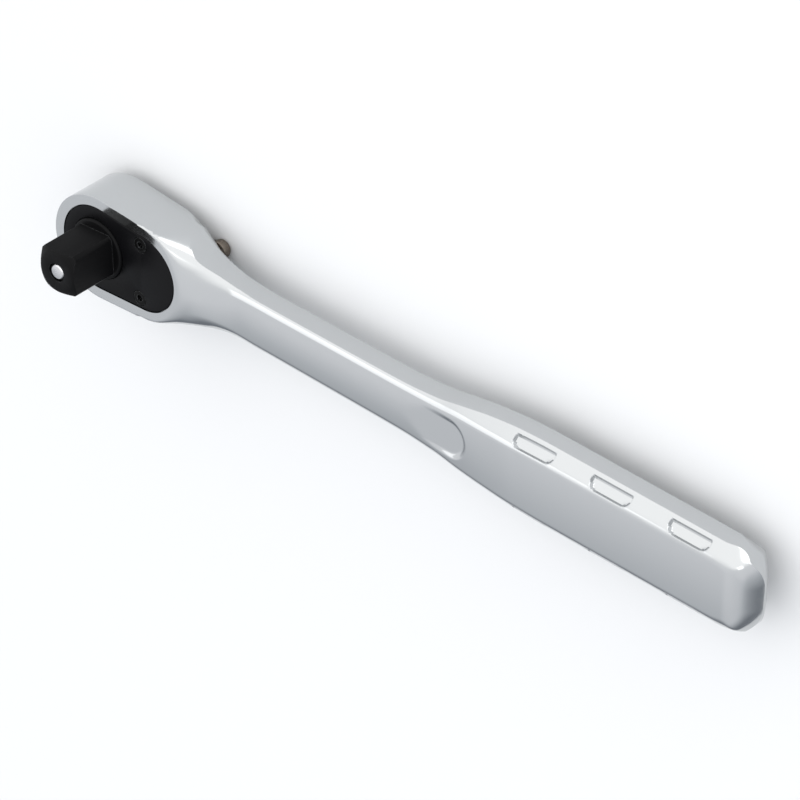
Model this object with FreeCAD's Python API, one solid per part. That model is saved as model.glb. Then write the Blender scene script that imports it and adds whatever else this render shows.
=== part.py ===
import FreeCAD, Part
import math
import os

from FreeCAD import Vector

# Ratchet wrench with a 3/8 in square drive, in millimetres.
# The drive axis is Z with the square pointing up, the handle runs along +X, and the origin is
# on the drive axis at the collar face that a socket seats against.

# Drive square and collar
SQUARE = 9.525
SQUARE_LENGTH = 11.6
SQUARE_CORNER = 0.8
SQUARE_TURN = 5.0
TIP_FLAT_R = 4.4
TIP_SLOPE_DEG = 30.0
COLLAR_R = 6.93
RUNNING = 0.07

# Head casing: two arcs joined by straight sides
HEAD_TOP = -0.6
HEAD_BACK = -12.7
HEAD_R = 12.2
HEAD_END_X = 12.6
HEAD_END_R = 11.3
BACK_ROUND = 1.3
RIM = 2.3
COVER_GAP = 0.12
COVER_THICK = 1.5

# Ratchet wheel: tooth count, radii and heights
TEETH = 72
TIP_R = 8.3
ROOT_R = 7.75
TOOTH_ROOT_DEG = 1.9
TOOTH_TIP_DEG = 0.6
GEAR_TOP = -2.5
GEAR_BOTTOM = -9.9
CAVITY_FLOOR = -9.95
JOURNAL_R = 5.5

# Release button, rod and ball in the middle of the drive
ROD_R = 1.75
BORE_R = 1.82
BALL_R = 1.75
BALL_Z = 5.0
BALL_Y = -3.56
BUTTON_END = -15.3
BUTTON_STEP = -12.0
BUTTON_FLOOR = -6.4
BUTTON_R = 3.45
STEM_R = 2.85

# Pawl and its pivot pin; each tooth block sits where its push on the wheel is square to its arm
PAWL_X = 10.0
PAWL_SWING_DEG = 8.0
PAWL_TOP = -2.55
PAWL_BOTTOM = -9.75
PAWL_HUB_R = 2.2
PIN_R = 1.0
PIN_LOW = -11.6
BLOCK_DEG = 37.0
BLOCK_SPAN_DEG = 8.0
PAWL_OUTER_R = 10.1

# Reversing lever, its shaft and the sprung plunger that tips the pawl
LEVER_X = 16.2
LEVER_DEG = 34.0
SHAFT_R = 2.4
LEVER_REACH = 7.0
LEVER_TOP = -13.0
LEVER_END = -15.3
PLUNGER_Z = -6.1
PLUNGER_R = 0.8
PLUNGER_TIP = 3.85

# Cover screws
SCREW_X = 11.9
SCREW_Y = 6.65
SCREW_HEAD_R = 1.65
SCREW_HEAD_H = 0.9
SCREW_R = 1.05
SCREW_LOW = -7.6
SCREW_SOCKET_R = 0.85
SCREW_SOCKET_LOW = -1.35

# Grooves and seats for the small rings
RING_LOW = -12.5
RING_HIGH = -12.02
RING_R = 3.95
ROD_LOW = -14.0
SEAL_Z = -11.2
SEAL_INNER_R = 4.75
SEAL_OUTER_R = 5.53
CLIP_LOW = -9.9
CLIP_HIGH = -9.35
LEVER_SEAL_Z = -11.5
PLUNGER_BACK = 0.7
MESH_GAP = 0.06

# Handle sections: x, half width, front edge z, back edge z, front face z, back face z
SECTIONS = (
    (20.5, 11.2, -7.2, -9.8, -3.3, -12.0),
    (23.0, 9.5, -6.7, -9.7, -3.25, -11.4),
    (26.0, 7.9, -6.1, -9.5, -3.2, -10.9),
    (30.0, 6.85, -5.3, -9.1, -3.15, -10.2),
    (36.0, 5.95, -4.3, -8.8, -3.1, -9.6),
    (43.0, 5.75, -3.9, -8.6, -3.05, -9.4),
    (60.0, 5.85, -3.9, -8.6, -3.05, -9.4),
    (80.0, 6.05, -3.9, -8.6, -3.0, -9.5),
    (90.0, 6.75, -3.95, -8.65, -2.75, -9.8),
    (97.0, 8.0, -4.1, -8.7, -2.35, -10.35),
    (104.0, 9.1, -4.4, -8.7, -1.95, -11.1),
    (112.0, 9.9, -4.55, -8.7, -1.65, -11.6),
    (120.0, 10.15, -4.6, -8.7, -1.6, -11.65),
)
CORNER_R = 2.3

# Shoulder between the head and the neck: a drafted wall about HEAD_END_X
SHOULDER_TOP_R = 11.9
SHOULDER_LOW_R = 13.6
SHOULDER_LOW_Z = -7.2
SHOULDER_HALF = 11.15

# Butt end of the handle
BUTT_X = 172.7
BUTT_CORNER_R = 7.5
BUTT_BEVEL = 4.4

# Shallow panel in the neck and the finger pockets in the grip's four bevels
PANEL_END_X = 95.0
PANEL_R = 4.75
PANEL_FRONT_Z = -2.95
PANEL_BACK_Z = -9.55
POCKET_X = 116.9
POCKET_PITCH = 20.0
POCKET_LENGTH = 9.8
POCKET_WIDTH = 3.6
POCKET_DEPTH = 0.8
POCKET_TIGHT_R = 0.7
POCKET_WIDE_R = 2.4
POCKET_FLOOR_R = 0.55


def cylinder(x, y, z0, z1, radius):
    return Part.makeCylinder(radius, z1 - z0, Vector(x, y, z0))


def ring(x, y, z0, z1, inner, outer):
    return cylinder(x, y, z0, z1, outer).cut(cylinder(x, y, z0 - 1, z1 + 1, inner))


def box(x0, x1, y0, y1, z0, z1):
    return Part.makeBox(x1 - x0, y1 - y0, z1 - z0, Vector(x0, y0, z0))


def prism(points, z0, z1):
    wire = Part.makePolygon([Vector(x, y, z0) for x, y in points + points[:1]])
    return Part.Face(wire).extrude(Vector(0, 0, z1 - z0))


def turned(profile):
    """Solid of revolution about Z from (radius, z) points."""
    wire = Part.makePolygon([Vector(r, 0, z) for r, z in profile + profile[:1]])
    return Part.Face(wire).revolve(Vector(0, 0, 0), Vector(0, 0, 1), 360)


def spun(shape, x, degrees):
    """Copy of a shape turned about the vertical line through (x, 0)."""
    copy = shape.copy()
    copy.rotate(Vector(x, 0, 0), Vector(0, 0, 1), degrees)
    return copy


def mirrored(shape):
    return shape.mirror(Vector(0, 0, 0), Vector(0, 1, 0))


def edges_at(shape, z):
    """Edges that lie flat at one height."""
    return [e for e in shape.Edges
            if abs(e.BoundBox.ZMin - z) < 1e-4 and abs(e.BoundBox.ZMax - z) < 1e-4]


def head_outline(inset, z0, z1):
    """Prism of the head's plan shape: arcs about the drive axis and HEAD_END_X, and their tangents."""
    r1 = HEAD_R - inset
    r2 = HEAD_END_R - inset
    tilt = math.acos((r1 - r2) / HEAD_END_X)
    a = Vector(r1 * math.cos(tilt), r1 * math.sin(tilt), z0)
    b = Vector(HEAD_END_X + r2 * math.cos(tilt), r2 * math.sin(tilt), z0)
    c = Vector(b.x, -b.y, z0)
    d = Vector(a.x, -a.y, z0)
    edges = [
        Part.Arc(d, Vector(-r1, 0, z0), a).toShape(),
        Part.makeLine(a, b),
        Part.Arc(b, Vector(HEAD_END_X + r2, 0, z0), c).toShape(),
        Part.makeLine(c, d),
    ]
    return Part.Face(Part.Wire(edges)).extrude(Vector(0, 0, z1 - z0))


def half_corner(half_width, edge_z, face_z):
    """Bevel from a side's edge to a face: edge point, arc start, arc middle and arc end."""
    out = 1 if face_z > edge_z else -1
    drop = abs(face_z - edge_z)
    radius = min(CORNER_R, 0.9 * drop * math.sqrt(2) / math.tan(math.radians(22.5)))
    t = radius * math.tan(math.radians(22.5))
    y = half_width - drop
    bulge = radius / math.cos(math.radians(22.5)) - radius
    lean = math.radians(67.5)
    start = (y + t * math.sqrt(0.5), face_z - out * t * math.sqrt(0.5))
    middle = (y - bulge * math.cos(lean), face_z - out * bulge * math.sin(lean))
    return (half_width, edge_z), start, middle, (y - t, face_z)


def section(x, half_width, front_edge, back_edge, front, back):
    """Closed wire of the handle's outline in the plane at x."""
    front_half = half_corner(half_width, front_edge, front)
    back_half = half_corner(half_width, back_edge, back)

    def at(point, side):
        return Vector(x, side * point[0], point[1])

    edges = []
    right = [at(p, 1) for p in front_half]
    right_back = [at(p, 1) for p in back_half]
    left = [at(p, -1) for p in front_half]
    left_back = [at(p, -1) for p in back_half]
    edges.append(Part.makeLine(left[3], right[3]))
    edges.append(Part.Arc(right[3], right[2], right[1]).toShape())
    edges.append(Part.makeLine(right[1], right[0]))
    edges.append(Part.makeLine(right[0], right_back[0]))
    edges.append(Part.makeLine(right_back[0], right_back[1]))
    edges.append(Part.Arc(right_back[1], right_back[2], right_back[3]).toShape())
    edges.append(Part.makeLine(right_back[3], left_back[3]))
    edges.append(Part.Arc(left_back[3], left_back[2], left_back[1]).toShape())
    edges.append(Part.makeLine(left_back[1], left_back[0]))
    edges.append(Part.makeLine(left_back[0], left[0]))
    edges.append(Part.makeLine(left[0], left[1]))
    edges.append(Part.Arc(left[1], left[2], left[3]).toShape())
    return Part.Wire(edges)


def butt_shape():
    """Everything that may remain near the butt: a bevelled side view met with a rounded plan."""
    x0 = SECTIONS[-1][0] - 1
    top = SECTIONS[-1][4] + 1
    low = SECTIONS[-1][5] - 1
    mid_top = SECTIONS[-1][2]
    mid_low = SECTIONS[-1][3]
    rise = top - mid_top
    side = [(x0, top), (BUTT_X - BUTT_BEVEL * rise / 3.0, top), (BUTT_X, mid_top),
            (BUTT_X, mid_low), (BUTT_X - BUTT_BEVEL * rise / 3.0, low), (x0, low)]
    wire = Part.makePolygon([Vector(x, -20, z) for x, z in side + side[:1]])
    view = Part.Face(wire).extrude(Vector(0, 40, 0))
    plan = box(x0, BUTT_X, -SECTIONS[-1][1], SECTIONS[-1][1], low - 1, top + 1)
    corners = [e for e in plan.Edges
               if abs(e.BoundBox.XMin - BUTT_X) < 1e-6 and e.BoundBox.ZLength > 1]
    return view.common(plan.makeFillet(BUTT_CORNER_R, corners))


def handle():
    """Neck and grip: a loft through the sections, straight from the last one to the butt."""
    wires = [section(*values) for values in SECTIONS]
    neck = Part.makeLoft(wires, True, False)
    root = Part.Face(wires[0]).extrude(Vector(-8, 0, 0))
    grip = Part.Face(wires[-1]).extrude(Vector(BUTT_X - SECTIONS[-1][0], 0, 0))
    return neck.fuse([root, grip.common(butt_shape())])


def shoulder():
    """Drafted wall that carries the head's end down to the bevels of the neck."""
    drop = HEAD_TOP - SHOULDER_LOW_Z
    cone = Part.makeCone(SHOULDER_LOW_R, SHOULDER_TOP_R, drop, Vector(HEAD_END_X, 0, SHOULDER_LOW_Z))
    return cone.common(box(12, 30, -SHOULDER_HALF, SHOULDER_HALF, -10, 5))


def panel_cut(face_z, depth_sign):
    """Cutter for the shallow round-ended panel along the neck."""
    z0 = face_z
    z1 = face_z + depth_sign * 3
    low, high = min(z0, z1), max(z0, z1)
    bar = box(44, PANEL_END_X, -PANEL_R, PANEL_R, low, high)
    return bar.fuse(cylinder(PANEL_END_X, 0, low, high, PANEL_R))


def pocket(x, side, front):
    """Cutter for one finger pocket: a D-shaped slot pressed square into a bevel."""
    values = SECTIONS[-1]
    edge_z = values[2] if front else values[3]
    up = 1 if front else -1
    half = POCKET_LENGTH / 2
    slot = box(-half, half, -POCKET_WIDTH, 0, -POCKET_DEPTH, 3)
    tight = [e for e in slot.Edges if e.BoundBox.ZLength > 1 and abs(e.BoundBox.YMin) < 1e-6]
    slot = slot.makeFillet(POCKET_TIGHT_R, tight)
    wide = [e for e in slot.Edges if e.BoundBox.ZLength > 1 and e.BoundBox.YMax < -POCKET_WIDTH + 1e-6]
    slot = slot.makeFillet(POCKET_WIDE_R, wide)
    slot = slot.makeFillet(POCKET_FLOOR_R, edges_at(slot, -POCKET_DEPTH))
    slot.rotate(Vector(0, 0, 0), Vector(1, 0, 0), -45)
    slot.translate(Vector(x, values[1] - 0.6, edge_z + 0.6))
    if not front:
        slot = slot.mirror(Vector(0, 0, edge_z), Vector(0, 0, 1))
    if side < 0:
        slot = mirrored(slot)
    return slot


def head_cavity():
    """Space inside the head for the cover, ratchet wheel, pawl and lever shaft."""
    cover_floor = HEAD_TOP - COVER_THICK
    space = head_outline(RIM, cover_floor, HEAD_TOP + 1)
    space = space.fuse(cylinder(0, 0, CAVITY_FLOOR, cover_floor + 0.5, TIP_R + 0.45))
    sweep = cylinder(0, 0, CAVITY_FLOOR, cover_floor + 0.5, PAWL_OUTER_R + 1.35)
    sweep = sweep.common(box(3.5, 14, -8.3, 8.3, -20, 0))
    space = space.fuse(sweep)
    space = space.fuse(box(8, LEVER_X, -3.3, 3.3, CAVITY_FLOOR, cover_floor + 0.5))
    space = space.fuse(cylinder(LEVER_X, 0, CAVITY_FLOOR, cover_floor + 0.5, 3.3))
    return space


def screw_points():
    return [(SCREW_X, SCREW_Y), (SCREW_X, -SCREW_Y)]


def body():
    """One forging: head casing, neck and grip."""
    head = head_outline(0, HEAD_BACK, HEAD_TOP)
    head = head.makeFillet(BACK_ROUND, edges_at(head, HEAD_BACK))
    shape = head.fuse([shoulder(), handle()]).removeSplitter()
    shape = shape.cut(panel_cut(PANEL_FRONT_Z, 1))
    shape = shape.cut(panel_cut(PANEL_BACK_Z, -1))
    for i in range(3):
        for side in (1, -1):
            for front in (True, False):
                shape = shape.cut(pocket(POCKET_X + i * POCKET_PITCH, side, front))
    shape = shape.cut(head_cavity())
    shape = shape.cut(cylinder(0, 0, HEAD_BACK - 1, CAVITY_FLOOR + 1, JOURNAL_R + RUNNING))
    shape = shape.cut(cylinder(LEVER_X, 0, HEAD_BACK - 1, CAVITY_FLOOR + 1, SHAFT_R + RUNNING))
    shape = shape.cut(cylinder(PAWL_X, 0, PIN_LOW, CAVITY_FLOOR + 1, PIN_R))
    for x, y in screw_points():
        shape = shape.cut(cylinder(x, y, SCREW_LOW, 0, SCREW_R))
    return shape


def cover_plate():
    """Flush plate over the mechanism, with the collar's bearing hole and two screw seats."""
    plate = head_outline(RIM + COVER_GAP, HEAD_TOP - COVER_THICK, HEAD_TOP)
    plate = plate.makeChamfer(0.25, edges_at(plate, HEAD_TOP))
    plate = plate.cut(cylinder(0, 0, -5, 1, COLLAR_R + RUNNING))
    for x, y in screw_points():
        plate = plate.cut(cylinder(x, y, HEAD_TOP - SCREW_HEAD_H, 1, SCREW_HEAD_R + COVER_GAP))
        plate = plate.cut(cylinder(x, y, -5, 1, SCREW_R + COVER_GAP))
    return plate


def cover_screws():
    """Two flat-headed screws with hexagon sockets."""
    screws = []
    for x, y in screw_points():
        head = cylinder(x, y, HEAD_TOP - SCREW_HEAD_H, HEAD_TOP - 0.05, SCREW_HEAD_R)
        shank = cylinder(x, y, SCREW_LOW + 0.2, HEAD_TOP - SCREW_HEAD_H, SCREW_R)
        corners = [(x + SCREW_SOCKET_R * math.cos(k * math.pi / 3),
                    y + SCREW_SOCKET_R * math.sin(k * math.pi / 3)) for k in range(6)]
        screws.append(head.fuse(shank).removeSplitter().cut(prism(corners, SCREW_SOCKET_LOW, 1)))
    return Part.makeCompound(screws)


def tooth_points(first, count, extra):
    """Tooth outline points, counter-clockwise, for some of the wheel's teeth, grown by extra."""
    pitch = 360.0 / TEETH
    grow = math.degrees(extra / TIP_R)
    points = []
    for i in range(first, first + count):
        middle = i * pitch
        for radius, angle in ((ROOT_R, -TOOTH_ROOT_DEG - grow), (TIP_R, -TOOTH_TIP_DEG - grow),
                              (TIP_R, TOOTH_TIP_DEG + grow), (ROOT_R, TOOTH_ROOT_DEG + grow)):
            a = math.radians(middle + angle)
            points.append(((radius + extra) * math.cos(a), (radius + extra) * math.sin(a)))
    return points


def drive_square():
    """Drive square with bevelled corners and a coned tip."""
    h = SQUARE / 2
    bar = box(-h, h, -h, h, -1, SQUARE_LENGTH)
    long_edges = [e for e in bar.Edges if e.BoundBox.ZLength > 1]
    bar = bar.makeChamfer(SQUARE_CORNER, long_edges)
    reach = h * math.sqrt(2)
    fall = (reach - TIP_FLAT_R) * math.tan(math.radians(TIP_SLOPE_DEG))
    tip = turned([(0, -1), (reach, -1), (reach, SQUARE_LENGTH - fall), (TIP_FLAT_R, SQUARE_LENGTH),
                  (0, SQUARE_LENGTH)])
    return spun(bar.common(tip), 0, SQUARE_TURN)


def drive_gear():
    """Ratchet wheel, bearing collar, drive square and rear journal, cut from one bar."""
    shape = prism(tooth_points(0, TEETH, 0), GEAR_BOTTOM, GEAR_TOP)
    collar = cylinder(0, 0, GEAR_TOP, 0, COLLAR_R)
    collar = collar.makeFillet(0.6, edges_at(collar, 0))
    journal = cylinder(0, 0, HEAD_BACK - 0.1, GEAR_BOTTOM, JOURNAL_R)
    shape = shape.fuse([collar, journal, drive_square()])
    shape = shape.cut(cylinder(0, 0, -20, 20, BORE_R))
    shape = shape.cut(cylinder(0, 0, SQUARE_LENGTH - 0.9, 20, 2.1))
    shape = shape.cut(cylinder(0, 0, -20, BUTTON_FLOOR, BUTTON_R + RUNNING))
    shape = shape.cut(cylinder(0, 0, RING_LOW, RING_HIGH, RING_R))
    shape = shape.cut(ring(0, 0, SEAL_Z - 0.45, SEAL_Z + 0.45, SEAL_INNER_R, JOURNAL_R + 1))
    hole = Part.makeCylinder(BALL_R + 0.05, 8, Vector(0, 0, BALL_Z), Vector(0, -1, 0))
    hole.rotate(Vector(0, 0, 0), Vector(0, 0, 1), SQUARE_TURN)
    return shape.cut(hole)


def gear_washer():
    return ring(0, 0, GEAR_TOP + 0.04, HEAD_TOP - COVER_THICK - 0.04, COLLAR_R + RUNNING, TIP_R - 0.1)


def gear_seal():
    """Rubber ring in the rear journal's groove."""
    middle = (SEAL_INNER_R + SEAL_OUTER_R) / 2
    return Part.makeTorus(middle, (SEAL_OUTER_R - SEAL_INNER_R) / 2, Vector(0, 0, SEAL_Z))


def release_button():
    """Push button with a flange inside the wheel and a cup for the spring."""
    shape = turned([(0, BUTTON_END), (STEM_R - 0.5, BUTTON_END), (STEM_R, BUTTON_END + 0.5),
                    (STEM_R, BUTTON_STEP), (BUTTON_R, BUTTON_STEP), (BUTTON_R, BUTTON_STEP + 0.9),
                    (0, BUTTON_STEP + 0.9)])
    return shape.cut(cylinder(0, 0, ROD_LOW, 0, ROD_R))


def release_rod():
    """Rod through the drive, with the ramped waist that lets the ball drop in."""
    tip = SQUARE_LENGTH - 0.1
    return turned([(0, ROD_LOW), (ROD_R, ROD_LOW), (ROD_R, BALL_Z - 4.0), (1.15, BALL_Z - 3.0),
                   (1.15, BALL_Z - 2.5), (ROD_R - 0.02, BALL_Z + 0.1), (ROD_R, BALL_Z + 0.2),
                   (ROD_R, tip - 0.3), (ROD_R - 0.3, tip), (0, tip)])


def coil_spring(x, y, z0, z1, radius, wire, turns, axis):
    """Helical spring from a swept eight-sided wire; axis is the direction of its length."""
    pitch = (z1 - z0) / turns
    helix = Part.makeHelix(pitch, z1 - z0, radius)
    corners = [math.radians(22.5 + 45 * k) for k in range(8)]
    points = [Vector(radius + wire * math.cos(a), 0, wire * math.sin(a)) for a in corners]
    section_wire = Part.makePolygon(points + points[:1])
    spring = Part.Wire(helix).makePipeShell([section_wire], True, True)
    spring.translate(Vector(0, 0, z0))
    turn = FreeCAD.Rotation(Vector(0, 0, 1), axis)
    spring.Placement = FreeCAD.Placement(Vector(x, y, 0), turn).multiply(spring.Placement)
    return spring


def release_spring():
    low = BUTTON_STEP + 0.9 + 0.3
    return coil_spring(0, 0, low, BUTTON_FLOOR - 0.3, 2.6, 0.25, 5, Vector(0, 0, 1))


def button_ring():
    """Snap ring in the wheel's rear counterbore that keeps the button in; open at one side."""
    shape = ring(0, 0, RING_LOW + 0.02, RING_HIGH - 0.02, STEM_R + 0.1, RING_R - 0.02)
    return shape.cut(box(-0.7, 0.7, -6, 0, -20, 0))


def detent_ball():
    ball = Part.makeSphere(BALL_R, Vector(0, BALL_Y, BALL_Z))
    ball.rotate(Vector(0, 0, 0), Vector(0, 0, 1), SQUARE_TURN)
    return ball


def sector(r0, r1, a0, a1, z0, z1):
    """Part of a ring about the drive axis between two angles in degrees."""
    full = Part.makeCylinder(r1, z1 - z0, Vector(0, 0, z0), Vector(0, 0, 1), a1 - a0)
    full.rotate(Vector(0, 0, 0), Vector(0, 0, 1), a0)
    return full.cut(cylinder(0, 0, z0 - 1, z1 + 1, r0))


def wheel_segment(a0, a1):
    """Wheel material between two tooth numbers, grown by the mesh clearance."""
    points = [(0, 0)] + tooth_points(a0, a1 - a0, MESH_GAP)
    return prism(points, PAWL_BOTTOM - 1, PAWL_TOP + 1)


def pawl():
    """Rocking pawl with a tooth block on each arm; its lower block is in mesh."""
    span = BLOCK_DEG + BLOCK_SPAN_DEG
    arms = sector(TIP_R - 0.2, PAWL_OUTER_R, -span, span, PAWL_BOTTOM, PAWL_TOP)
    hub = cylinder(PAWL_X, 0, PAWL_BOTTOM, PAWL_TOP, PAWL_HUB_R)
    shape = arms.fuse(hub)
    for swing in (PAWL_SWING_DEG, -PAWL_SWING_DEG):
        shape = shape.cut(spun(cylinder(0, 0, -20, 0, TIP_R + 0.3), PAWL_X, swing))
    block = sector(ROOT_R, PAWL_OUTER_R - 1.0, -BLOCK_DEG - BLOCK_SPAN_DEG, -BLOCK_DEG + BLOCK_SPAN_DEG,
                   PAWL_BOTTOM, PAWL_TOP)
    block = spun(block.cut(wheel_segment(-12, -3)), PAWL_X, PAWL_SWING_DEG)
    shape = shape.fuse([block, mirrored(block)])
    shape = shape.cut(cylinder(LEVER_X, 0, -20, 0, PLUNGER_TIP + 0.15))
    shape = shape.cut(cylinder(PAWL_X, 0, -20, 0, PIN_R + 0.05))
    return spun(shape.removeSplitter(), PAWL_X, -PAWL_SWING_DEG)


def pawl_pin():
    return cylinder(PAWL_X, 0, PIN_LOW, HEAD_TOP - COVER_THICK - 0.05, PIN_R)


def lever_turned(shape):
    return spun(shape, LEVER_X, LEVER_DEG)


def plunger_bore():
    return Part.makeCylinder(PLUNGER_R + 0.05, 5, Vector(LEVER_X + 1.7, 0, PLUNGER_Z), Vector(-1, 0, 0))


def reversing_lever():
    """Thumb lever with its shaft, forged in one; drawn along +X and turned to its stop."""
    plate = cylinder(LEVER_X, 0, LEVER_END + 0.6, LEVER_TOP, 3.5)
    arm = prism([(LEVER_X, 2.9), (LEVER_X, -2.9), (LEVER_X + LEVER_REACH, -1.9),
                 (LEVER_X + LEVER_REACH, 1.9)], LEVER_END + 0.6, LEVER_TOP)
    knob = cylinder(LEVER_X + LEVER_REACH, 0, LEVER_END, LEVER_TOP, 2.1)
    knob = knob.makeFillet(0.9, edges_at(knob, LEVER_END))
    shaft = cylinder(LEVER_X, 0, LEVER_TOP, PAWL_TOP, SHAFT_R)
    shape = plate.fuse([arm, knob, shaft]).removeSplitter()
    shape = shape.cut(plunger_bore())
    shape = shape.cut(ring(LEVER_X, 0, CLIP_LOW, CLIP_HIGH, 1.95, 3))
    shape = shape.cut(ring(LEVER_X, 0, LEVER_SEAL_Z - 0.4, LEVER_SEAL_Z + 0.4, 1.85, 3))
    return lever_turned(shape)


def lever_clip():
    """Retaining clip on the lever's shaft, just inside the head."""
    shape = ring(LEVER_X, 0, CLIP_LOW + 0.02, CLIP_HIGH - 0.02, 1.97, 3.1)
    return lever_turned(shape.cut(box(LEVER_X, LEVER_X + 5, -1.2, 1.2, -20, 0)))


def lever_seal():
    inner = 1.87
    outer = SHAFT_R + 0.03
    return Part.makeTorus((inner + outer) / 2, (outer - inner) / 2, Vector(LEVER_X, 0, LEVER_SEAL_Z))


def selector_plunger():
    """Round-nosed plunger that the lever carries across the back of the pawl."""
    back = LEVER_X - PLUNGER_BACK
    shape = Part.makeCylinder(PLUNGER_R, PLUNGER_TIP - PLUNGER_BACK - PLUNGER_R,
                              Vector(back, 0, PLUNGER_Z), Vector(-1, 0, 0))
    nose = Part.makeSphere(PLUNGER_R, Vector(LEVER_X - PLUNGER_TIP + PLUNGER_R, 0, PLUNGER_Z))
    return lever_turned(shape.fuse(nose).removeSplitter())


def selector_spring():
    length = 1.7 + PLUNGER_BACK - 0.3
    spring = coil_spring(LEVER_X + 1.55, 0, 0, length, 0.55, 0.13, 5, Vector(-1, 0, 0))
    spring.translate(Vector(0, 0, PLUNGER_Z))
    return lever_turned(spring)


NODES = {
    "body": body,
    "cover_plate": cover_plate,
    "cover_screws": cover_screws,
    "drive_gear": drive_gear,
    "gear_washer": gear_washer,
    "gear_seal": gear_seal,
    "release_button": release_button,
    "release_rod": release_rod,
    "release_spring": release_spring,
    "button_ring": button_ring,
    "detent_ball": detent_ball,
    "pawl": pawl,
    "pawl_pin": pawl_pin,
    "reversing_lever": reversing_lever,
    "lever_clip": lever_clip,
    "lever_seal": lever_seal,
    "selector_plunger": selector_plunger,
    "selector_spring": selector_spring,
}

os.makedirs("parts", exist_ok=True)
for name, make in NODES.items():
    shape = make()
    shape.exportStep("parts/" + name + ".step")
    print(name, len(shape.Solids), "solids", round(shape.Volume, 1), "mm3")
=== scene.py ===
import bpy
import bmesh
import math
from mathutils import Vector, Matrix


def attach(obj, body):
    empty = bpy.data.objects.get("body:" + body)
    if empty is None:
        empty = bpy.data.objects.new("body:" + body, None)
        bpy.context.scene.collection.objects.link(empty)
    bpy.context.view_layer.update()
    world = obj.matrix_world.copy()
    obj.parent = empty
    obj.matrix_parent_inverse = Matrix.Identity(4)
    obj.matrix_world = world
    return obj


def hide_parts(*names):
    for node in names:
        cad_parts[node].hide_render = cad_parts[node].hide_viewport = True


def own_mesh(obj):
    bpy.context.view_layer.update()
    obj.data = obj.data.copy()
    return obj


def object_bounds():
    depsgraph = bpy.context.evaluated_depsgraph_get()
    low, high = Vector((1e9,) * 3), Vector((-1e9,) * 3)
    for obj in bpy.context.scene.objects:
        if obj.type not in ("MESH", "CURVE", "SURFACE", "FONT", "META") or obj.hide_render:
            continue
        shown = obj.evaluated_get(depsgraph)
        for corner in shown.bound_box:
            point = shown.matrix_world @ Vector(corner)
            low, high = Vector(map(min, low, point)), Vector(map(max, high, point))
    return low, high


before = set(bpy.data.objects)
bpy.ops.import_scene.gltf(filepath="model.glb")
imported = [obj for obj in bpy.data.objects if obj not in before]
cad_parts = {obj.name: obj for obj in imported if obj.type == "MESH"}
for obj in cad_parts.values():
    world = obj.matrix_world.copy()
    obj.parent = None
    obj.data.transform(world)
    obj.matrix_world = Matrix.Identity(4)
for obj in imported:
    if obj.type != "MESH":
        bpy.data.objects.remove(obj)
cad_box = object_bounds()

# ---------------------------------------------------------------- studio
# White paper lies under the tool. A dome is brightest towards one side, so that polished faces show
# clean gradients, and three softboxes shape the handle's bevels, the butt and the shoulder.


def linear(hex_colour):
    """Linear RGBA of an sRGB hex colour."""
    values = []
    for i in (1, 3, 5):
        c = int(hex_colour[i:i + 2], 16) / 255
        values.append(c / 12.92 if c <= 0.04045 else ((c + 0.055) / 1.055) ** 2.4)
    return (*values, 1.0)


def add(tree, kind, settings=None, links=None):
    """One node. Settings are its properties or its sockets' values, and links feed its sockets."""
    node = tree.nodes.new(kind)
    for key, value in (settings or {}).items():
        if isinstance(key, int) or key in node.inputs:
            node.inputs[key].default_value = value
        else:
            setattr(node, key, value)
    for key, source in (links or {}).items():
        tree.links.new(source, node.inputs[key])
    return node


def new_material(name):
    """An empty node material."""
    material = bpy.data.materials.new(name)
    material.use_nodes = True
    material.node_tree.nodes.clear()
    return material, material.node_tree


def new_piece(name, bm):
    """A mesh object at the origin from a bmesh, which is freed."""
    mesh = bpy.data.meshes.new(name)
    bm.to_mesh(mesh)
    bm.free()
    piece = bpy.data.objects.new(name, mesh)
    bpy.context.scene.collection.objects.link(piece)
    return piece


MM = 0.001
FLOOR_SIZE = 4.0
FLOOR_GAP = 0.2 * MM
MIDDLE = (0.08, 0, 0)

bm = bmesh.new()
bmesh.ops.create_grid(bm, x_segments=2, y_segments=2, size=FLOOR_SIZE / 2)
bmesh.ops.translate(bm, verts=bm.verts, vec=(MIDDLE[0], 0, cad_box[0][2] - FLOOR_GAP))
floor = new_piece("floor", bm)

# Uncoated paper scatters light evenly, so it shows no highlight
paper, tree = new_material("matt_white_paper")
shader = add(tree, "ShaderNodeBsdfPrincipled", {"Base Color": linear("#e6e7e8"), "Roughness": 0.9})
add(tree, "ShaderNodeOutputMaterial", None, {"Surface": shader.outputs[0]})
floor.data.materials.append(paper)

scene = bpy.context.scene
scene.view_settings.view_transform = "Standard"
BRIGHT_SIDE = Vector((-0.1, 0.75, 0.65)).normalized()
world = bpy.data.worlds.new("dome")
scene.world = world
world.use_nodes = True
tree = world.node_tree
tree.nodes.clear()
where = add(tree, "ShaderNodeTexCoord")
facing = add(tree, "ShaderNodeVectorMath", {"operation": "DOT_PRODUCT", 1: BRIGHT_SIDE},
             {0: where.outputs["Generated"]})
reach = add(tree, "ShaderNodeMapRange", {"From Min": -0.5, "From Max": 1.0},
            {"Value": facing.outputs["Value"]})
sky = add(tree, "ShaderNodeValToRGB", None, {"Fac": reach.outputs["Result"]})
sky.color_ramp.elements[0].color = linear("#70747a")
sky.color_ramp.elements[1].position = 0.93
sky.color_ramp.elements[1].color = linear("#ffffff")
for place, tone in ((0.28, "#b2b5b9"), (0.4, "#d2d3d6"), (0.7, "#d9dadc")):
    sky.color_ramp.elements.new(place).color = linear(tone)
dome = add(tree, "ShaderNodeBackground", {"Strength": 1.6}, {"Color": sky.outputs["Color"]})
add(tree, "ShaderNodeOutputWorld", None, {"Surface": dome.outputs[0]})


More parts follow.
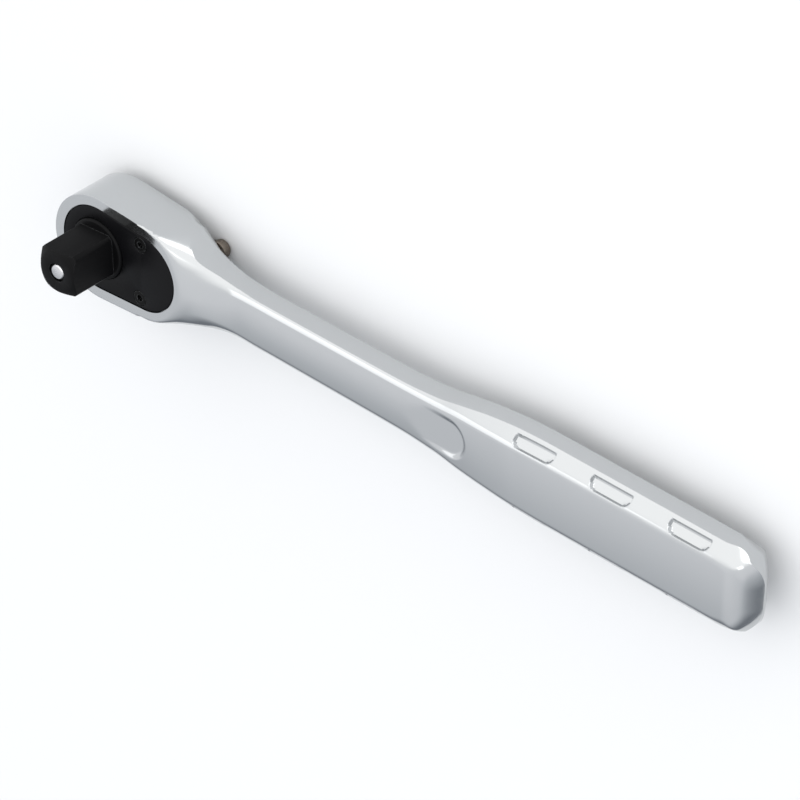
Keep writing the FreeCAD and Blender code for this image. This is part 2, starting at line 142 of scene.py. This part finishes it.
def softbox(name, place, width, length, power):
    """Rectangular light at place, facing the middle of the tool."""
    lamp = bpy.data.lights.new(name, "AREA")
    lamp.shape = "RECTANGLE"
    lamp.size = width
    lamp.size_y = length
    lamp.energy = power
    light = bpy.data.objects.new(name, lamp)
    light.location = place
    light.rotation_euler = (Vector(MIDDLE) - Vector(place)).to_track_quat("-Z", "Y").to_euler()
    scene.collection.objects.link(light)


softbox("overhead", (-0.95, 0.1, 1.3), 0.9, 0.6, 1.0)
softbox("fill", (0.9, 0.75, 1.2), 1.2, 1.0, 3)
softbox("side", (0.8, 1.3, 0.22), 1.9, 0.42, 3.2)

# A long lens above the grip's end, rolled so that the tool runs down to the right
camera_data = bpy.data.cameras.new("camera")
camera_data.sensor_width = 36
camera_data.lens = 280.6
camera_data.clip_end = 30
camera = bpy.data.objects.new("camera", camera_data)
eye = Vector((0.7337, 0.7382, 0.7539))
across = Vector((0.7417, 0.0317, -0.6699))
down = Vector((0.4167, -0.8045, 0.4233))
turn = Matrix((across, -down, -across.cross(down))).transposed().to_4x4()
camera.matrix_world = Matrix.Translation(eye) @ turn
scene.collection.objects.link(camera)
scene.camera = camera

# ---------------------------------------------------------------- body
# One steel forging: teardrop head, slim neck and bevelled grip. It is ground, polished and chrome
# plated, so its faces are true and its edges a little soft. Sizes are in millimetres.

HEAD_TOP = -0.6
HEAD_BACK = -12.7
HEAD_R = 12.19
END_X = 12.6
END_R = 11.3
BACK_ROUND = 1.3
SHOULDER_X = 20.4
NECK_X = 26.0
BUTT_X = 172.7
BUTT_CORNER_R = 7.5
BUTT_BEVEL = 4.4
BEVEL_RISE = 3.0
GRIP_W = 10.15
# The handle's section at each x: half width, front edge, back edge, front face and back face
WIDTH, FRONT_EDGE, BACK_EDGE, FRONT_FACE, BACK_FACE = 1, 2, 3, 4, 5
SECTIONS = (
    (20.5, 11.2, -7.2, -9.8, -3.3, -12.0),
    (23.0, 9.5, -6.7, -9.7, -3.25, -11.4),
    (26.0, 7.9, -6.1, -9.5, -3.2, -10.9),
    (30.0, 6.85, -5.3, -9.1, -3.15, -10.2),
    (36.0, 5.95, -4.3, -8.8, -3.1, -9.6),
    (43.0, 5.75, -3.9, -8.6, -3.05, -9.4),
    (60.0, 5.85, -3.9, -8.6, -3.05, -9.4),
    (80.0, 6.05, -3.9, -8.6, -3.0, -9.5),
    (90.0, 6.75, -3.95, -8.65, -2.75, -9.8),
    (97.0, 8.0, -4.1, -8.7, -2.35, -10.35),
    (104.0, 9.1, -4.4, -8.7, -1.95, -11.1),
    (112.0, 9.9, -4.55, -8.7, -1.65, -11.6),
    (120.0, GRIP_W, -4.6, -8.7, -1.6, -11.65),
    (BUTT_X, GRIP_W, -4.6, -8.7, -1.6, -11.65),
)


def slope(i, k):
    """Monotone slope of column k of the sections at row i."""
    if i in (0, len(SECTIONS) - 1):
        a = min(max(i - 1, 0), len(SECTIONS) - 2)
        return (SECTIONS[a + 1][k] - SECTIONS[a][k]) / (SECTIONS[a + 1][0] - SECTIONS[a][0])
    before = (SECTIONS[i][k] - SECTIONS[i - 1][k]) / (SECTIONS[i][0] - SECTIONS[i - 1][0])
    after = (SECTIONS[i + 1][k] - SECTIONS[i][k]) / (SECTIONS[i + 1][0] - SECTIONS[i][0])
    if before * after <= 0:
        return 0.0
    return 2 * before * after / (before + after)


def along(x, k):
    """Column k of the sections at x, on a smooth curve through the rows."""
    x = min(max(x, SECTIONS[0][0]), BUTT_X)
    i = 0
    while i < len(SECTIONS) - 2 and x > SECTIONS[i + 1][0]:
        i += 1
    gap = SECTIONS[i + 1][0] - SECTIONS[i][0]
    t = (x - SECTIONS[i][0]) / gap
    return ((1 + 2 * t) * (1 - t) ** 2 * SECTIONS[i][k] + t * (1 - t) ** 2 * gap * slope(i, k)
            + t * t * (3 - 2 * t) * SECTIONS[i + 1][k] + t * t * (t - 1) * gap * slope(i + 1, k))


def soft_min(a, b, k):
    """The smaller of two heights, rounded over where they are within k."""
    h = max(k - abs(a - b), 0) / k
    return min(a, b) - h * h * k / 4


def soft_max(a, b, k):
    """The larger of two heights, rounded over in the same way."""
    return -soft_min(-a, -b, k)


def ease(t):
    """Smooth step from 0 to 1 as t goes from 0 to 1."""
    t = min(max(t, 0), 1)
    return t * t * (3 - 2 * t)


# The head's plan is two arcs and the straight sides that touch both, from side_start on
lean = math.acos((HEAD_R - END_R) / END_X)
side_start = HEAD_R * math.cos(lean)
SIDE_BLEND = 0.4


def half_width(x):
    """Half the body's width at x, seen from the front."""
    if x < side_start:
        return math.sqrt(max(HEAD_R ** 2 - x * x, 0))
    side = HEAD_R * math.sin(lean) - (x - side_start) / math.tan(lean)
    if x < SHOULDER_X:
        return side
    if x < NECK_X:
        return soft_min(side, along(x, WIDTH), SIDE_BLEND)
    if x < BUTT_X - BUTT_CORNER_R:
        return along(x, WIDTH)
    past = x - BUTT_X + BUTT_CORNER_R
    return GRIP_W - BUTT_CORNER_R + math.sqrt(max(BUTT_CORNER_R ** 2 - past ** 2, 0))


def inset(x, y):
    """Distance in from the head's outline."""
    if x < side_start:
        return HEAD_R - math.hypot(x, y)
    return half_width(x) - abs(y)


# The butt's own bevel meets those of the sides in a mitre, and its two corners are ground rounder
BUTT_REACH = 10.0
BUTT_FADE = 6.0
MITRE_BLEND = 0.35
CORNER_FROM = 9.0
CORNER_DROP = 1.8
CORNER_REACH = 2.8


def bevel_height(x, y):
    """Height of the bevels above the edge they start from."""
    if x < BUTT_X - BUTT_REACH:
        return along(x, WIDTH) - abs(y)
    u = max(x - BUTT_X + BUTT_CORNER_R, 0)
    v = max(abs(y) - GRIP_W + BUTT_CORNER_R, 0)
    away = max(BUTT_CORNER_R - math.hypot(u, v), 0)
    near = ease((x - BUTT_X + CORNER_FROM) / BUTT_FADE)
    rounding = CORNER_DROP * near * max(1 - away / CORNER_REACH, 0) ** 2
    butt = (BUTT_X - x) * BEVEL_RISE / BUTT_BEVEL
    return soft_min(GRIP_W - abs(y), butt, MITRE_BLEND) - rounding


SOFT_EDGE = 0.9


def edge_softness(x):
    """Width of the rounding between a face and its bevels, twice as wide at the butt."""
    return SOFT_EDGE + SOFT_EDGE * ease((x - BUTT_X + BUTT_REACH) / BUTT_FADE)


# The front falls from the head's rim gently along the middle and steeply at the sides
RIM_R = 11.2
RIM_BLEND = 0.5
MIDDLE_FALL = 0.36
SIDE_FALL = 3.0
SIDE_POWER = 7
SHOULDER_BLEND = 2.4
NECK_CROWN = 0.35


def front(x, y):
    """Height of the front surface."""
    if x < END_X:
        return HEAD_TOP
    r = math.hypot(x - END_X, y)
    fall = MIDDLE_FALL + SIDE_FALL * (abs(y) / END_R) ** SIDE_POWER
    head = soft_min(HEAD_TOP, HEAD_TOP - (r - RIM_R) * fall, RIM_BLEND)
    crown = NECK_CROWN * (y / along(x, WIDTH)) ** 2 * ease((x - 20) / 10)
    bevel = along(x, FRONT_EDGE) + bevel_height(x, y)
    neck = soft_min(along(x, FRONT_FACE) - crown, bevel, edge_softness(x))
    return soft_max(head, neck, SHOULDER_BLEND)


# The back rises at one slope from a smaller round, to leave room for the lever
BACK_RIM_R = 10.6
BACK_RIM_BLEND = 1.2
BACK_RISE = 1.6
BACK_BLEND = 1.5
BACK_FADE = 6.0


def back(x, y):
    """Height of the back surface."""
    d = min(max(inset(x, y), 0), BACK_ROUND)
    edge = HEAD_BACK + BACK_ROUND - math.sqrt(max(d * (2 * BACK_ROUND - d), 0))
    if x < END_X:
        return edge
    r = math.hypot(x - END_X, y)
    head = soft_max(HEAD_BACK, HEAD_BACK + (r - BACK_RIM_R) * BACK_RISE, BACK_RIM_BLEND)
    bevel = along(x, BACK_EDGE) - bevel_height(x, y)
    neck = soft_max(along(x, BACK_FACE), bevel, edge_softness(x))
    share = ease((x - END_X) / BACK_FADE)
    return edge * (1 - share) + soft_min(head, neck, BACK_BLEND) * share


# Finger pockets sink square to the bevels. They are straight and tight along the grip's outer edge,
# soft and round towards its faces. Their middle is measured up the bevel from that edge.
POCKETS = (116.5, 136.2, 156.1)
POCKET_HALF_LONG = 5.3
POCKET_HALF_WIDE = 1.8
POCKET_MIDDLE = 2.65
POCKET_DEPTH = 0.85
TIGHT_CORNER = 0.7
ROUND_CORNER = 2.2
TIGHT_WALL = 0.5
SOFT_WALL = 1.0


def in_pocket(x, y):
    """Share of a finger pocket's full depth at a point of a bevel, from 0 outside to 1 inside."""
    best = 0.0
    for middle in POCKETS:
        u = abs(x - middle)
        if u > POCKET_HALF_LONG + SOFT_WALL:
            continue
        v = (along(x, WIDTH) - abs(y)) * math.sqrt(2)
        tight = v < POCKET_MIDDLE
        corner = TIGHT_CORNER if tight else ROUND_CORNER
        du = u - (POCKET_HALF_LONG - corner)
        dv = abs(v - POCKET_MIDDLE) - (POCKET_HALF_WIDE - corner)
        outside = math.hypot(max(du, 0), max(dv, 0)) + min(max(du, dv), 0) - corner
        best = max(best, ease(-outside / (TIGHT_WALL if tight else SOFT_WALL)))
    return best


# The neck's sunk panel is a flat floor that the grip's rise leaves behind, ending in a half round
PANEL_FROM = 44
PANEL_TO = 101
PANEL_END_X = 95.0
PANEL_W = 4.75
PANEL_FRONT = -2.95
PANEL_BACK = -9.55
PANEL_WALL = 1.2


def surface(x, y, upper):
    """Point of the front or back surface, with the neck's panel and the finger pockets."""
    z = front(x, y) if upper else back(x, y)
    if PANEL_FROM < x < PANEL_TO:
        out = math.hypot(max(x - PANEL_END_X, 0), y) - PANEL_W
        high = max(z - PANEL_FRONT, 0) if upper else min(z - PANEL_BACK, 0)
        z -= high * ease(-out / PANEL_WALL)
    share = in_pocket(x, y) if x > PANEL_TO else 0
    if share > 0:
        rise = 1 if upper else -1
        plane = along(x, FRONT_EDGE if upper else BACK_EDGE) + rise * (along(x, WIDTH) - abs(y))
        below = (plane - z) * rise / math.sqrt(2)
        push = max(POCKET_DEPTH * share - below, 0) / math.sqrt(2)
        z -= rise * push
        y -= math.copysign(push, y)
    return y, z


def spread(start, end, count):
    """Even places after start, up to end."""
    return [start + (end - start) * i / count for i in range(1, count + 1)]


# Places of the rings along the body, closest where its shape changes most
places = [-HEAD_R * math.cos(math.radians(a)) for a in range(0, 91, 4)][:-1] + [0.0]
for end, count in ((END_X, 8), (16.0, 6), (26.0, 40), (44.0, 20), (90.0, 30), (100.5, 50), (109.5, 12)):
    places += spread(places[-1], end, count)
for middle in POCKETS:
    places += spread(places[-1], middle - 5.8, 5)
    places += spread(middle - 5.8, middle - 4.3, 11)
    places += spread(middle - 4.3, middle + 4.3, 12)
    places += spread(middle + 4.3, middle + 5.8, 11)
places += spread(places[-1], BUTT_X - BUTT_CORNER_R, 6)
corner_start = BUTT_X - BUTT_CORNER_R
places += [corner_start + BUTT_CORNER_R * math.sin(math.radians(a)) for a in range(4, 89, 4)]
places += [BUTT_X]

# A circle is extruded ring by ring, and each ring is then fitted to the body's section
ACROSS = 96
UP = 6
bm = bmesh.new()
made = bmesh.ops.create_circle(bm, segments=2 * (ACROSS + UP), radius=1)
rings = [list(made["verts"])]
loop = bm.edges[:]
for x in places[1:]:
    made = bmesh.ops.extrude_edge_only(bm, edges=loop)
    loop = [g for g in made["geom"] if isinstance(g, bmesh.types.BMEdge)]
    previous = rings[-1]
    follow = {}
    for g in made["geom"]:
        if isinstance(g, bmesh.types.BMVert):
            for e in g.link_edges:
                other = e.other_vert(g)
                if other in previous:
                    follow[other] = g
    rings.append([follow[v] for v in previous])
for x, verts in zip(places, rings):
    w = half_width(x)
    top = [surface(x, w - 2 * w * i / ACROSS, True) for i in range(ACROSS + 1)]
    low = [surface(x, -w + 2 * w * i / ACROSS, False) for i in range(ACROSS + 1)]
    left = [(-w, top[-1][1] + (low[0][1] - top[-1][1]) * i / UP) for i in range(1, UP)]
    right = [(w, low[-1][1] + (top[0][1] - low[-1][1]) * i / UP) for i in range(1, UP)]
    for v, (y, z) in zip(verts, top + left + low + right):
        v.co = (x, y, z)
bmesh.ops.remove_doubles(bm, verts=bm.verts, dist=1e-4)
bmesh.ops.holes_fill(bm, edges=bm.edges, sides=0)
bmesh.ops.recalc_face_normals(bm, faces=bm.faces)
SHARP = math.radians(24)
EDGE_BREAK = 0.22
sharp = [e for e in bm.edges if len(e.link_faces) == 2 and e.calc_face_angle() > SHARP]
bmesh.ops.bevel(bm, geom=sharp, offset=EDGE_BREAK, offset_type="OFFSET", segments=3, profile=0.5,
                affect="EDGES", material=-1, clamp_overlap=True)
bmesh.ops.scale(bm, verts=bm.verts, vec=(MM, MM, MM))
body = new_piece("forged_body", bm)

# The head is milled out from the front for the cover, the wheel, the pawl and the lever's shaft, and
# bored through at the back for the wheel's collar and the shaft. Each radius is its hole's.
RIM = 2.3
COVER_FLOOR = -2.1
CAVITY_FLOOR = -9.95
OVERLAP = 0.3
WHEEL_R = 8.75
PAWL_X = 10.0
PAWL_R = 6.0
LEVER_X = 16.2
LEVER_R = 3.3
SHAFT_R = 2.47
REAR_R = 5.57


def drum(bm, x, low, high, radius):
    """A cylinder on the body's middle line, standing from back to front."""
    place = Matrix.Translation((x, 0, (low + high) / 2))
    bmesh.ops.create_cone(bm, cap_ends=True, segments=96, radius1=radius, radius2=radius,
                          depth=high - low, matrix=place)


def mill(piece, shape_tool, *sizes):
    """Cuts one tool's shape, drawn in millimetres, out of a piece."""
    bm = bmesh.new()
    shape_tool(bm, *sizes)
    bmesh.ops.recalc_face_normals(bm, faces=bm.faces)
    bmesh.ops.scale(bm, verts=bm.verts, vec=(MM, MM, MM))
    tool = new_piece("tool", bm)
    cut = piece.modifiers.new("cut", "BOOLEAN")
    cut.operation = "DIFFERENCE"
    cut.solver = "EXACT"
    cut.object = tool
    bpy.context.view_layer.update()
    shown = piece.evaluated_get(bpy.context.evaluated_depsgraph_get())
    milled = bpy.data.meshes.new_from_object(shown)
    piece.modifiers.clear()
    piece.data = milled
    bpy.data.objects.remove(tool)


def head_plan(bm, low, high):
    """Prism of the head's plan inside its rim: two arcs joined by straight sides."""
    made = bmesh.ops.create_circle(bm, cap_ends=True, segments=180, radius=1)
    for v in made["verts"]:
        angle = math.atan2(v.co.x, v.co.y) - math.pi / 2
        angle = math.atan2(math.sin(angle), math.cos(angle))
        far = abs(angle) < lean
        radius = (END_R if far else HEAD_R) - RIM
        v.co = ((END_X if far else 0) + radius * math.cos(angle), radius * math.sin(angle), low)
    made = bmesh.ops.extrude_face_region(bm, geom=bm.faces[:])
    lifted = [g for g in made["geom"] if isinstance(g, bmesh.types.BMVert)]
    bmesh.ops.translate(bm, verts=lifted, vec=(0, 0, high - low))


mill(body, head_plan, COVER_FLOOR, HEAD_TOP + 1)
mill(body, drum, 0, CAVITY_FLOOR, COVER_FLOOR + OVERLAP, WHEEL_R)
mill(body, drum, PAWL_X, CAVITY_FLOOR, COVER_FLOOR + OVERLAP, PAWL_R)
mill(body, drum, LEVER_X, CAVITY_FLOOR, COVER_FLOOR + OVERLAP, LEVER_R)
mill(body, drum, 0, HEAD_BACK - 1, CAVITY_FLOOR + 1, REAR_R)
mill(body, drum, LEVER_X, HEAD_BACK - 1, CAVITY_FLOOR + 1, SHAFT_R)
body.data.shade_smooth()
body.data.set_sharp_from_angle(angle=math.radians(32))
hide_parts("body")
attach(body, "casing")


def metal(name, colour, smoothest, roughest, grain):
    """A bare metal whose roughness wanders between two values over a grain in millimetres."""
    # Scratches from grinding are far too fine to show, so the grain is that of patches of them
    material, tree = new_material(name)
    where = add(tree, "ShaderNodeTexCoord")
    cloud = add(tree, "ShaderNodeTexNoise", {"Scale": 1 / (grain * MM), "Detail": 4.0},
                {"Vector": where.outputs["Object"]})
    haze = add(tree, "ShaderNodeMapRange", {"From Min": 0.3, "From Max": 0.7, "To Min": smoothest,
                                            "To Max": roughest}, {"Value": cloud.outputs["Fac"]})
    shader = add(tree, "ShaderNodeBsdfPrincipled", {"Base Color": linear(colour), "Metallic": 1.0},
                 {"Roughness": haze.outputs["Result"]})
    add(tree, "ShaderNodeOutputMaterial", None, {"Surface": shader.outputs[0]})
    return material


# Chromium over buffed nickel is a nearly neutral mirror. The buffing wheel leaves patches of haze a few
# millimetres wide, which soften the reflections a little.
body.data.materials.append(metal("polished_chrome", "#c0c2c3", 0.1, 0.17, 3.0))


def dress(name, material, edge):
    """Material and softened edges, in millimetres, for a piece kept as it was designed."""
    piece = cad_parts[name]
    piece.data.materials[0] = material
    piece.data.shade_smooth()
    weld = piece.modifiers.new("weld", "WELD")
    weld.merge_threshold = 0.001 * MM
    soft = piece.modifiers.new("soft_edges", "BEVEL")
    soft.width = edge * MM
    soft.segments = 2
    soft.limit_method = "ANGLE"
    soft.angle_limit = math.radians(30)
    soft.harden_normals = True


# ---------------------------------------------------------------- drive
# The wheel, its collar and the square are one turned and milled steel part, hardened and blackened.
# It turns in the head on a steel washer, and a rubber ring at the back keeps the grease in.

BARE_STEEL = "#8d8f92"
WEAR_WIDTH = 0.18
WEAR_GRAIN = 0.6


def blackened(name, colour, wear):
    """Black oxide: a thin, dark, oiled skin on steel, rubbed back to grey metal along the edges."""
    # Its crystals are far too fine to show, so the grain is that of patches of wear
    material, tree = new_material(name)
    where = add(tree, "ShaderNodeTexCoord")
    shape = add(tree, "ShaderNodeNewGeometry")
    rounded = add(tree, "ShaderNodeBevel", {"samples": 6, "Radius": WEAR_WIDTH * MM})
    turn = add(tree, "ShaderNodeVectorMath", {"operation": "DOT_PRODUCT"},
               {0: rounded.outputs["Normal"], 1: shape.outputs["Normal"]})
    edge = add(tree, "ShaderNodeMapRange", {"From Min": 0.995, "From Max": 0.9, "To Max": wear},
               {"Value": turn.outputs["Value"]})
    cloud = add(tree, "ShaderNodeTexNoise", {"Scale": 1 / (WEAR_GRAIN * MM), "Detail": 6.0},
                {"Vector": where.outputs["Object"]})
    patchy = add(tree, "ShaderNodeMapRange", {"From Min": 0.35, "From Max": 0.65},
                 {"Value": cloud.outputs["Fac"]})
    rubbed = add(tree, "ShaderNodeMath", {"operation": "MULTIPLY"},
                 {0: edge.outputs["Result"], 1: patchy.outputs["Result"]})
    tint = add(tree, "ShaderNodeMix", {"data_type": "RGBA", 6: linear(colour), 7: linear(BARE_STEEL)},
               {"Factor": rubbed.outputs[0]})
    haze = add(tree, "ShaderNodeMapRange", {"To Min": 0.38, "To Max": 0.52},
               {"Value": cloud.outputs["Fac"]})
    shader = add(tree, "ShaderNodeBsdfPrincipled", {"Specular IOR Level": 0.1},
                 {"Base Color": tint.outputs[2], "Metallic": rubbed.outputs[0],
                  "Roughness": haze.outputs["Result"]})
    add(tree, "ShaderNodeOutputMaterial", None, {"Surface": shader.outputs[0]})
    return material


dress("drive_gear", blackened("black_oxide_on_steel", "#070708", 0.6), 0.12)

# Spring steel keeps a grey skin from rolling, with a dull shine
rolled = metal("rolled_spring_steel", "#8e8f91", 0.25, 0.4, 0.8)
dress("gear_washer", rolled, 0.05)
dress("button_ring", rolled, 0.05)

# Nitrile rubber is a soft black that scatters nearly all its highlight. Its moulded skin is finer
# than this in life, and is drawn just coarse enough to show.
RUBBER_GRAIN = 0.2
rubber, tree = new_material("nitrile_rubber")
where = add(tree, "ShaderNodeTexCoord")
skin = add(tree, "ShaderNodeTexNoise", {"Scale": 1 / (RUBBER_GRAIN * MM)},
           {"Vector": where.outputs["Object"]})
dull = add(tree, "ShaderNodeMapRange", {"To Min": 0.6, "To Max": 0.8}, {"Value": skin.outputs["Fac"]})
shader = add(tree, "ShaderNodeBsdfPrincipled", {"Base Color": linear("#1b1b1c")},
             {"Roughness": dull.outputs["Result"]})
add(tree, "ShaderNodeOutputMaterial", None, {"Surface": shader.outputs[0]})
dress("gear_seal", rubber, 0.05)

# ---------------------------------------------------------------- socket release
# A turned steel button at the back pushes a rod through the drive, whose bright end shows in the
# square. The rod's groove lets the ball drop in, and a coil spring brings the button back.

# Ground and nickel plated steel is a warm, softly brushed silver
nickel = metal("satin_nickel", "#d2d2d3", 0.2, 0.3, 0.5)
dress("release_button", nickel, 0.15)
dress("release_rod", nickel, 0.1)


def coil(name, body, radius, wire, length, turns, place):
    """A coil spring, wound up from the origin and then put in place. Wire is the wire's radius."""
    steps = turns * 24
    bm = bmesh.new()
    stand = Matrix.Translation((radius, 0, wire)) @ Matrix.Rotation(math.pi / 2, 4, "X")
    bmesh.ops.create_circle(bm, segments=10, radius=wire, matrix=stand)
    rise = (length - 2 * wire) / steps
    bmesh.ops.spin(bm, geom=bm.verts[:] + bm.edges[:], cent=(0, 0, 0), axis=(0, 0, 1),
                   dvec=(0, 0, rise), angle=2 * math.pi * turns, steps=steps)
    bmesh.ops.holes_fill(bm, edges=bm.edges, sides=0)
    bmesh.ops.recalc_face_normals(bm, faces=bm.faces)
    bmesh.ops.transform(bm, matrix=Matrix.Scale(MM, 4) @ place, verts=bm.verts)
    piece = new_piece(name + "_coil", bm)
    piece.data.shade_smooth()
    piece.data.set_sharp_from_angle(angle=math.radians(50))
    piece.data.materials.append(rolled)
    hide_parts(name)
    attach(piece, body)
    return piece


# In life the spring is squashed towards its seat in the wheel as the button goes in; here it keeps one
# length and moves with the drive
RELEASE_LOW = -11.03
RELEASE_LONG = 4.58
spring = coil("release_spring", "drive", 2.6, 0.25, RELEASE_LONG, 5,
              Matrix.Translation((0, 0, RELEASE_LOW)))
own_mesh(spring)

# Bearing steel is lapped to a clear, slightly dark mirror
dress("detent_ball", metal("lapped_ball_steel", "#b9babc", 0.05, 0.09, 0.4), 0.02)

# ---------------------------------------------------------------- ratchet
# The pawl is machined from bar and rocks on a ground pin in the body. A sprung plunger in the
# lever's shaft throws it from one side to the other.

# Hardened tool steel comes from heat treatment a little dark and matt
dress("pawl", metal("hardened_tool_steel", "#77787a", 0.3, 0.45, 0.6), 0.08)
# A pin ground to size is bare, bright steel with a soft shine
dress("pawl_pin", metal("ground_pin_steel", "#a3a4a6", 0.15, 0.25, 0.6), 0.08)
dress("selector_plunger", nickel, 0.05)

# The plunger's spring lies in a cross hole of the shaft, turned with the lever
SELECTOR_LONG = 2.36
SELECTOR_END = 1.68
SELECTOR_Z = -6.1
LEVER_ANGLE = math.radians(34)
turned = Matrix.Translation((LEVER_X, 0, SELECTOR_Z)) @ Matrix.Rotation(LEVER_ANGLE, 4, "Z")
spring_place = turned @ Matrix.Translation((SELECTOR_END, 0, 0)) @ Matrix.Rotation(-math.pi / 2, 4, "Y")
spring = coil("selector_spring", "lever", 0.55, 0.13, SELECTOR_LONG, 5, spring_place)
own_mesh(spring)

# ---------------------------------------------------------------- reversing lever
# The thumb lever behind the head is cast steel, plated in black nickel. A clip holds its shaft in
# the body, and a rubber ring seals it.

# Black nickel plate is a brownish dark mirror with a faint haze
dress("reversing_lever", metal("black_nickel_plate", "#7a7168", 0.18, 0.3, 0.8), 0.25)
dress("lever_clip", rolled, 0.03)
dress("lever_seal", rubber, 0.03)

# ---------------------------------------------------------------- cover
# A stamped steel plate closes the front of the head, flush with its rim. Two socket screws, which
# are blackened as it is, hold it down.

# The same oxide looks a little paler on the ground sheet and is blackest on the screws
dress("cover_plate", blackened("black_oxide_on_plate", "#0b0b0d", 0.5), 0.12)
dress("cover_screws", blackened("black_oxide_on_screw", "#050505", 0.6), 0.08)
